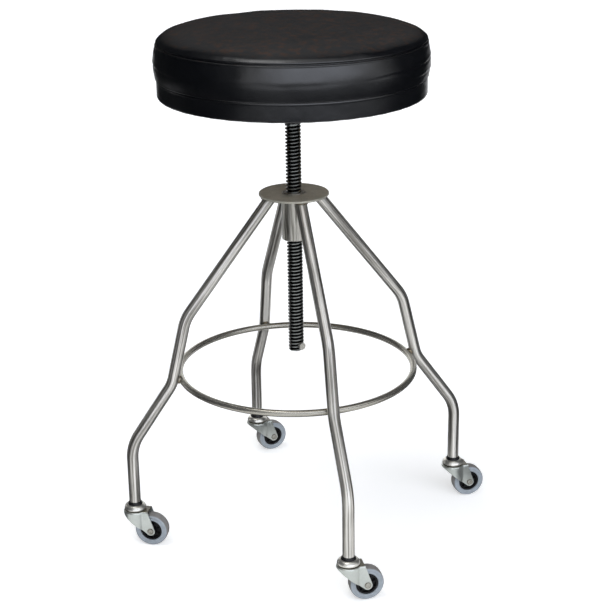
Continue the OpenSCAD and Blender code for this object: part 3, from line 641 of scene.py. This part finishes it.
leg = {
    "knees": [(32.14, 504.3), (161.0, 337.0), (183.7, 241.7), (246.0, 154.5), (246.0, 66.9)],
    "bends": [61, 50, 60], "tubeD": 16.5, "wall": 1.5, "bore": 12, "columns": 40, "plateLow": 504.25,
    "bendSteps": 15, "stepMm": 9, "flatter": 0.012, "bentShare": 6,
    "turns": {"front_left": 225, "front_right": 315, "back_right": 45, "back_left": 135},
}
ring = {"radius": 169.1, "rodD": 9.5, "z": 246.0, "columns": 24, "steps": 256}


def legPath():
    # centre line in the leg's own plane, its points closer in the bends
    knees = [np.array(k, float) for k in leg["knees"]]
    path = [knees[0]]
    for before, knee, after, radius in zip(knees, knees[1:], knees[2:], leg["bends"]):
        u, w = (before - knee) / norm(before - knee), (after - knee) / norm(after - knee)
        half = acos(u @ w) / 2
        centre = knee + (u + w) / norm(u + w) * radius / sin(half)
        first, last = knee + u * radius / tan(half) - centre, knee + w * radius / tan(half) - centre
        a = atan2(first[1], first[0])
        swing = (atan2(last[1], last[0]) - a + pi) % (2 * pi) - pi
        path += list(centre + radius * onCircle(a + swing * np.linspace(0, 1, leg["bendSteps"])))
    path.append(knees[-1])
    dense = [path[0]]
    for a, b in zip(path, path[1:]):
        steps = max(1, int(norm(b - a) / leg["stepMm"]))
        dense += [a + (b - a) * k / steps for k in range(1, steps + 1)]
    return np.array(dense)


def makeLeg(corner):
    path = legPath()
    tangent = unitRows(np.gradient(path, axis=0))
    side = np.stack([-tangent[:, 1], tangent[:, 0]], 1)  # in the leg's plane, square to the tube
    bend = np.abs(np.gradient(np.unwrap(np.arctan2(tangent[:, 1], tangent[:, 0]))))
    flat = 1 - leg["flatter"] * np.clip(bend * leg["bentShare"], 0, 1)[:, None]  # a bent tube flattens in its plane
    r = leg["tubeD"] / 2
    turn = fullTurn(leg["columns"])
    section = path[:, None] + side[:, None] * (r * np.cos(turn) * flat)[..., None]
    section[0] += tangent[0] * (leg["plateLow"] - section[0, :, 1:]) / tangent[0, 1]  # cut level, close under the plate
    out, up, across = section[..., 0], section[..., 1], r * np.sin(turn)
    a = radians(leg["turns"][corner])
    points = np.stack([out * cos(a) - across * sin(a), out * sin(a) + across * cos(a), up], -1)
    end = points[-1:]
    middle = end.mean(1, keepdims=True)
    lip = middle + (end - middle) * (1 - leg["wall"] / r)
    along = alongLine(path)
    along = np.concatenate([along, along[-1] + [leg["wall"], leg["bore"] + 1]])
    obj = gridPiece("legTube_" + corner, np.concatenate([points, lip, lip + [0, 0, leg["bore"]]]),
                    uv=(2 * pi * r / leg["columns"], along))
    creaseOver(obj, 45)
    finishPiece(obj, tubeSteel, "frame", "stainless", "leg_" + corner)


def makeRing():
    r, around, turn = ring["rodD"] / 2, fullTurn(ring["steps"]), fullTurn(ring["columns"])
    points = spun(ring["radius"] + r * np.cos(turn), ring["z"] + r * np.sin(turn), around[:, None])
    obj = gridPiece("footRing", points, closed=True,
                    uv=(pi * ring["rodD"] / ring["columns"], around * ring["radius"]))
    finishPiece(obj, rodSteel, "frame", "stainless", "foot_ring")


for corner in corners:
    makeLeg(corner)
makeRing()
dressSolids(top_plate=plateSteel, hub=hubSteel, plate_welds=weldSteel, ring_welds=weldSteel)
print("frame made")


# ---- casters

caster = {"stemR": 246.0, "trail": 24.0, "axleZ": 24.0,
          "swing": {"front_left": 19, "front_right": 41, "back_right": 44, "back_left": 54}}


def casterPlace(corner):
    a = radians(leg["turns"][corner])
    return Matrix.Translation((caster["stemR"] * cos(a) * mm, caster["stemR"] * sin(a) * mm, 0)) \
        @ Matrix.Rotation(radians(caster["swing"][corner]), 4, "Z")


def axlePlace(corner):  # Z along the axle
    return casterPlace(corner) @ Matrix.Translation((caster["trail"] * mm, 0, caster["axleZ"] * mm)) \
        @ Matrix.Rotation(pi / 2, 4, "X")


def addSecond(obj, material, chosen):  # a second material on the chosen faces
    obj.data.materials.append(material)
    obj.data.polygons.foreach_set("material_index", [int(v) for v in chosen])


tyre = {"radius": 24.0, "half": 8.5, "round": 3.0, "seatR": 15.55, "lip": 1.2, "sunk": 0.25, "crown": 0.12,
        "wornWide": 1.1, "wornDeep": 1.6}


def makeTyre(corner):
    c = tyre
    r, h, e, seat, lip = c["radius"], c["half"], c["round"], c["seatR"], c["lip"]
    half = [(seat, h - lip)] + arc(seat + lip, h - lip, lip, 180, 90, 5) \
        + [(seat + 2.2, h), (seat + 2.6, h - c["sunk"]), (r - e - 1.2, h - c["sunk"]), (r - e - 0.9, h)] \
        + arc(r - e - 0.3, h - e, e, 90, 4, 8) + [(r - c["crown"], 3.4), (r, 1.2), (r, 0.35), (r - c["crown"], 0.0)]
    obj = revolve("tyre_" + corner + "_rubber", half + [(x, -y) for x, y in half[::-1][1:]], columns=120)
    # only the running surface is scuffed
    worn = [abs(f.center.z) < (h - c["wornWide"]) * mm and f.center.xy.length > (r - c["wornDeep"]) * mm
            for f in obj.data.polygons]
    finishPiece(obj, tyreRubber, "wheel_" + corner, "tread", "tyre_" + corner, place=axlePlace(corner))
    addSecond(obj, treadRubber, worn)


core = {"bore": 4.15, "half": 9.7, "edge": 0.4, "hubR": 6.75, "hubRound": 0.8, "rimR": 12.9, "web": 2.5, "fillet": 1.2,
        "rimHalf": 7.0, "outerR": 15.5, "ribs": 8, "ribTurn": 12, "ribWide": 1.3, "ribHigh": 3.0, "ribAt": 4.2}


def makeCore(corner):
    c = core
    hub, rim, web, fillet, edge = c["hubR"], c["rimR"], c["web"], c["fillet"], c["edge"]
    half = [(c["bore"], c["half"] - edge), (c["bore"] + edge, c["half"])] \
        + arc(hub - c["hubRound"], c["half"] - c["hubRound"], c["hubRound"], 90, 0, 4) \
        + [(hub + 0.3, web + 1.0)] + arc(hub + 1.3, web + 1.0, 1.0, 180, 270, 4) \
        + arc(rim - fillet, web + fillet, fillet, 270, 360, 4) \
        + [(rim, c["rimHalf"] - edge), (rim + edge, c["rimHalf"]), (c["outerR"] - edge, c["rimHalf"]),
           (c["outerR"], c["rimHalf"] - edge)]
    obj = revolve("wheelCore_" + corner, half + [(x, -y) for x, y in half[::-1]])
    work = bmesh.new()
    work.from_mesh(obj.data)
    size = Matrix.Diagonal(((rim - hub) * mm, c["ribWide"] * mm, c["ribHigh"] * mm, 1))
    for k in range(c["ribs"]):  # moulded ribs between hub and rim
        for side in (-1, 1):
            spin = Matrix.Rotation(radians(360 / c["ribs"] * k + c["ribTurn"]), 4, "Z") \
                @ Matrix.Translation(((hub + rim) / 2 * mm, 0, side * c["ribAt"] * mm))
            bmesh.ops.create_cube(work, size=1, matrix=spin @ size)
    work.to_mesh(obj.data)
    work.free()
    creaseOver(obj, 40)
    finishPiece(obj, coreNylon, "wheel_" + corner, "black_core", "wheel_core_" + corner, place=axlePlace(corner))


raceCover = {"bore": 3.6, "top": 62.6, "rim": 56.2, "shoulder": 10.45, "wide": 15.75, "height": 6.4, "wall": 1.2,
             "ballTop": 57.4, "ballR": 9.6}


def makeRaceCover(corner):
    c = raceCover
    shoulder, wide, rim = c["shoulder"], c["wide"], c["rim"]
    profile = [(wide - 1.0, rim - 0.05), (wide - 0.3, rim - 0.15), (wide, rim + 0.1)] \
        + arc(shoulder, rim, wide - shoulder, 0, 90, 12, c["height"])[1:] \
        + [(c["bore"], c["top"]), (c["bore"], c["ballTop"]), (c["ballR"], c["ballTop"])] \
        + arc(shoulder - c["wall"], rim, wide - shoulder - 0.4, 90, 0, 8, c["height"] - c["wall"])
    obj = revolve("raceCover_" + corner + "_chrome", profile)
    creaseOver(obj, 50)
    finishPiece(obj, chromeSteel, "frame", "chrome", "race_cover_" + corner, place=casterPlace(corner))


fork = {"crownR": 17.0, "half": 12.0, "sheet": 2.0, "top": 54.0, "bendR": 2.2, "nose": (-18.0, 51.6),
        "heel": (20.5, 54.0), "cheekR": 6.4, "creaseR": 4.0, "greaseShadeReach": 21.0, "plateRings": (16.4, 12.0, 3.6)}
axle = np.array([caster["trail"], caster["axleZ"]])  # seen from the side of the fork


def cheekTouch(p, side):  # where a line from p touches the cheek's round end
    to = np.array(p) - axle
    a = atan2(to[1], to[0]) + side * acos(fork["cheekR"] / norm(to))
    return a, axle + fork["cheekR"] * onCircle(a)


def makeFork(corner):
    # the sheet's outer face as one grid: wall, bend, and the crown's plate in to the king pin
    c = fork
    frontA, front = cheekTouch(c["heel"], -1)
    rearA, rear = cheekTouch(c["nose"], 1)
    (heelX, heelZ), (noseX, noseZ), fillet = c["heel"], c["nose"], c["creaseR"]
    wallTop = c["top"] - c["bendR"]
    alongHeel = lambda z: heelX + (front[0] - heelX) * (z - heelZ) / (front[1] - heelZ)
    alongNose = lambda x: noseZ + (rear[1] - noseZ) * (x - noseX) / (rear[0] - noseX)
    crease = lambda d: sqrt((c["crownR"] - d + fillet) ** 2 - (c["half"] - d + fillet) ** 2)
    meet = lambda d: atan2(c["half"] - d + fillet, crease(d))  # where the round wall ends
    start, end = np.array([alongHeel(wallTop), wallTop]), np.array([crease(0), alongNose(crease(0))])
    sweep = np.linspace(frontA, rearA - 2 * pi if rearA > frontA else rearA, 22)
    low = np.concatenate([start + (front - start) * np.linspace(0, 0.9, 7)[:, None],
                          axle + c["cheekR"] * onCircle(sweep),
                          rear + (end - rear) * np.linspace(0.25, 1, 4)[:, None]])
    high = np.stack([np.linspace(start[0], end[0], len(low)), np.full(len(low), wallTop)], 1)

    def wallPlan(d):  # plan of the hollow crease and the round wall, set in by d
        bend = np.array(arc(crease(d), c["half"] - d + fillet, fillet, 270, 180 + degrees(meet(d)), 7))
        turn = np.linspace(meet(d), pi, 34)[1:]
        return np.concatenate([bend[1:], (c["crownR"] - d) * onCircle(turn)])

    rows = []

    def addRow(x, y, height, plan, planHeight):  # the flat cheek, then the round wall
        rows.append(np.concatenate([np.stack([x, np.full(len(x), y), np.broadcast_to(height, x.shape)], 1),
                                    np.column_stack([plan, np.broadcast_to(planHeight, len(plan))])]))

    plan = wallPlan(0)
    foot = alongNose(plan[:, 0])
    for k in np.linspace(0, 1, 7):  # from the lower edge up the wall
        cheek = low + (high - low) * k
        addRow(cheek[:, 0], c["half"], cheek[:, 1], plan, foot + (wallTop - foot) * k)
    for a in np.radians(np.linspace(15, 90, 6)):  # over the bend
        d, z = c["bendR"] * (1 - cos(a)), wallTop + c["bendR"] * sin(a)
        addRow(np.linspace(alongHeel(z), crease(d), len(low)), c["half"] - d, z, wallPlan(d), z)
    half = np.array(rows)
    grid = np.concatenate([half * [1, -1, 1], half[:, ::-1][:, 1:]], 1)  # near side, then far side
    nRows, nColumns = grid.shape[:2]
    verts = grid.reshape(-1, 3).tolist()
    faces = [(at, at + 1, at + nColumns + 1, at + nColumns) for i in range(nRows - 1)
             for at in range(i * nColumns, (i + 1) * nColumns - 1)]
    loop = list(range((nRows - 1) * nColumns, nRows * nColumns))
    reach = c["half"] - c["bendR"]
    for y in np.linspace(reach, -reach, 9)[1:-1]:
        loop.append(len(verts))
        verts.append([heelX, y, c["top"]])
    for radius in c["plateRings"]:
        n, inner = len(loop), range(len(verts), len(verts) + len(loop))
        for x, y, z in [verts[v] for v in loop]:
            far = hypot(x, y)
            r = min(radius, far * 0.97)
            verts.append([x / far * r, y / far * r, c["top"]])
        faces += [(loop[k], loop[(k + 1) % n], inner[(k + 1) % n], inner[k]) for k in range(n)]
        loop = inner
    obj = meshObject("fork_" + corner + "_pressed", (np.array(verts) * mm).tolist(), faces)
    work = bmesh.new()
    work.from_mesh(obj.data)
    bmesh.ops.remove_doubles(work, verts=work.verts, dist=0.01 * mm)
    bmesh.ops.recalc_face_normals(work, faces=work.faces)
    if max(work.faces, key=lambda f: f.calc_center_median().z).normal.z < 0:
        bmesh.ops.reverse_faces(work, faces=work.faces)
    work.to_mesh(obj.data)
    work.free()
    obj.data.shade_smooth()
    # the crown's top under the race cover: grease, and painted shade under the dome
    greasedAndShaded = [f.center.z > (c["top"] - 0.05) * mm and f.center.xy.length < c["greaseShadeReach"] * mm
               for f in obj.data.polygons]
    sheet = obj.modifiers.new("sheet", "SOLIDIFY")
    sheet.thickness, sheet.offset, sheet.use_even_offset = c["sheet"] * mm, -1, True
    softenEdges(obj, 0.3, angle=50)
    finishPiece(obj, zincSteel, "caster_" + corner, "zinc_steel", "fork_" + corner, place=casterPlace(corner))
    addSecond(obj, greaseAndShadeZinc, greasedAndShaded)


rivet = {"grip": 12.05, "headR": 4.6, "headH": 1.7, "headRound": 1.5, "axleR": 3.0, "punches": 6, "punchDepth": 0.4,
         # the rolled-over rim and the hollow within it: in from the rim's edge, down from its top
         "rollR": 0.9, "roll": [(1.35, 0.25), (1.6, 0.75), (2.1, 0.85)],
         "hollow": [(1.3, 0.65), (0.7, 0.6), (0.45, 1.0), (0.0, 1.1)]}


def makeRivet(corner):
    # a tubular rivet: round head on the far side, and a rolled-over rim with crimp marks on the near side
    c = rivet
    g, r, h, e = c["grip"], c["headR"], c["headH"], c["headRound"]
    profile = [(0.0, -g - h)] + arc(r - e, -g - h + e, e, -90, -5, 5) \
        + [(r, -g), (c["axleR"], -g), (c["axleR"], g), (r, g), (r, g + 0.7)] \
        + arc(r - c["rollR"], g + h - 0.95, c["rollR"], 0, 90, 5) \
        + [(r - x, g + h - z) for x, z in c["roll"]] + [(x, g + h - z) for x, z in c["hollow"]]
    obj = revolve("axleRivet_" + corner, profile, columns=72, closed=False)
    for v in obj.data.vertices:
        x, y, z = v.co / mm
        if z > g + 0.5 and 1.4 < hypot(x, y) < r - 1.2:
            v.co.z -= c["punchDepth"] * mm * max(0, cos(c["punches"] * atan2(y, x)))
    creaseOver(obj, 55)
    # the head's flanks in the dark finish: a painted shadow line round the head
    paintedShadeFlanks = [abs(f.normal.z) < 0.6 for f in obj.data.polygons]
    finishPiece(obj, rivetSteel, "caster_" + corner, "zinc_steel", "axle_" + corner, place=axlePlace(corner))
    addSecond(obj, greaseAndShadeZinc, paintedShadeFlanks)


for corner in corners:
    makeTyre(corner)
    makeCore(corner)
    makeRaceCover(corner)
    makeFork(corner)
    makeRivet(corner)
    dress(nodes["socket_" + corner], socketPlastic)
    for part in ("stem_", "race_balls_", "axle_sleeve_"):
        dress(nodes[part + corner], rivetSteel)
print("casters made")


# ---- floor, lamps and world

studio = {
    "floor": "#f4f4f2", "floorGlow": 0.4, "floorHalf": 14, "keyAzimuth": 48, "keySky": "#eef3ff",
    "restSky": "#dcdee2", "keyStrength": 3.3, "restStrength": 0.4, "keyEdge": (0.58, 0.93), "keyTop": (0.45, 1.05),
    "suns": {"softTop": (325, 73, 0.75, 24), "backFill": (222, 12, 0.4, 50)},  # azimuth, elevation, strength, spread
    "card": "#242424", "cardSteps": 24,
    # upright cards: from and to azimuth, distance, lowest and highest
    "upright": [(104, 170, 0.8, 0, 2.1), (242, 262, 0.8, 0, 2.1), (282, 352, 0.8, 0, 2.1), (170, 242, 0.8, 0.6, 2.1),
                (262, 282, 0.8, 0.36, 2.1), (-8, 104, 0.8, 0.36, 0.56), (-50, 125, 0.3, 0.565, 0.615)],
    # lying cards: height, then places to the camera's right and towards it
    "lying": {
        "groundCard": (0.001, [
            (-1.0, 0.3), (-0.5, 0.24), (-0.38, 0.12), (-0.3, 0.07), (-0.2, 0.11), (-0.1, 0.19), (0, 0.215),
            (0.14, 0.215), (0.17, 0.1), (0.11, 0.0), (0.12, -0.14), (0.24, -0.17), (0.36, -0.12), (1.0, -0.12),
            (1.0, -0.5), (0.42, -0.5), (0.34, -0.24), (0.22, -0.24), (0.14, -0.5), (0.06, -0.5), (0.03, -0.2),
            (-0.03, -0.15), (-0.12, -0.15), (-0.17, -0.22), (-0.2, -0.5), (-1.0, -0.5)]),
        "sideCard": (0.001, [(0.3, 0.2), (0.9, 0.12), (0.9, -0.1), (0.3, -0.08)]),
        "roofCard": (1.7, [(-0.6, -1.2), (-0.6, 0), (0.6, 0), (0.6, -1.2)]),
    },
}


def stagePiece(name, points, faces, material):
    obj = meshObject(name, points, faces)
    dress(obj, material)
    return obj


def seenRays(add):  # 1 for what the camera or a reflection sees, 0 for what only lights the object
    rays = add("LightPath").outputs
    seen = add("Math", {0: rays["Is Camera Ray"], 1: rays["Is Glossy Ray"]}, operation="MAXIMUM")
    return add("Math", {0: seen, 1: rays["Is Transmission Ray"]}, operation="MAXIMUM")


def makeFloor():
    # matt pale floor, seen a little lighter than it is lit, so it is white beside its shadow
    material, add = newMaterial("paleMattFloor")
    glow = add("Math", {0: seenRays(add), 1: studio["floorGlow"]}, operation="MULTIPLY")
    setSurface(material, {"Base Color": linearColour(studio["floor"]), "Roughness": 0.9, "Specular IOR Level": 0.1,
                          "Emission Color": (1, 1, 1, 1), "Emission Strength": glow})
    f = studio["floorHalf"]
    stagePiece("floor", [(-f, -f, 0), (f, -f, 0), (f, f, 0), (-f, f, 0)], [(0, 1, 2, 3)], material)


def makeWorld():
    # a soft window to the right of the camera, and an even dim room round it
    c = studio
    world = bpy.data.worlds.new("studio")
    scene.world = world
    add = emptyTree(world)
    looking = add("TexCoord").outputs["Generated"]
    level = add("VectorMath", {0: looking, 1: (1, 1, 0)}, operation="MULTIPLY")
    level = add("VectorMath", {0: level}, operation="NORMALIZE")
    facing = add("VectorMath", {0: level, 1: compass(c["keyAzimuth"], 0)}, operation="DOT_PRODUCT")
    side, middle = c["keyEdge"]
    across = add("MapRange", {"Value": facing.outputs["Value"], "From Min": side, "From Max": middle},
                 interpolation_type="SMOOTHSTEP")
    height = add("SeparateXYZ", {0: looking})
    full, none = c["keyTop"]
    below = add("MapRange", {"Value": height.outputs["Z"], "From Min": none, "From Max": full},
                interpolation_type="SMOOTHSTEP")
    share = add("Math", {0: across, 1: below}, operation="MULTIPLY")
    seen = seenRays(add)  # the backdrop above the floor's far edge is white too
    rest = add("Mix", {0: seen, 6: linearColour(c["restSky"]), 7: (1, 1, 1, 1)}, data_type="RGBA")
    sky = add("Mix", {0: share, 6: rest.outputs[2], 7: linearColour(c["keySky"])}, data_type="RGBA")
    power = add("MapRange", {"Value": share, "To Min": c["restStrength"], "To Max": c["keyStrength"]})
    least = add("Math", {0: power, 1: seen}, operation="MAXIMUM")
    light = add("Background", {"Color": sky.outputs[2], "Strength": least})
    add("OutputWorld", {"Surface": light})


def makeCards():
    # matt black cards, as for photographing metal: they show only in reflections
    material = setSurface(newMaterial("blackCard")[0], {"Base Color": linearColour(studio["card"]), "Roughness": 1.0,
                                                        "Specular IOR Level": 0.0})
    cards, steps = [], studio["cardSteps"]
    for k, (a, b, far, low, high) in enumerate(studio["upright"]):
        edge = [compass(v, 0) * far for v in np.linspace(a, b, steps)]
        points = [(v.x, v.y, z) for z in (low, high) for v in edge]
        faces = [(i, i + 1, i + steps + 1, i + steps) for i in range(steps - 1)]
        cards.append(stagePiece("blackCard%d" % k, points, faces, material))
    toCamera, toRight = compass(camera["azimuth"], 0), compass(camera["azimuth"] + 90, 0)
    for name, (z, outline) in studio["lying"].items():
        points = [toRight * x + toCamera * y + Vector((0, 0, z)) for x, y in outline]
        cards.append(stagePiece(name, points, [list(range(len(points)))], material))
    for card in cards:
        card.visible_camera = card.visible_diffuse = card.visible_shadow = card.visible_transmission = False


def makeSuns():
    for name, (azimuth, elevation, strength, spread) in studio["suns"].items():
        lamp = newObject(name, bpy.data.lights.new(name, "SUN"))
        lamp.data.energy, lamp.data.angle = strength, radians(spread)
        lamp.rotation_euler = compass(azimuth, elevation).to_track_quat("Z", "Y").to_euler()


makeFloor()
makeWorld()
makeCards()
makeSuns()
scene.view_settings.view_transform = "Standard"
print("studio lit")
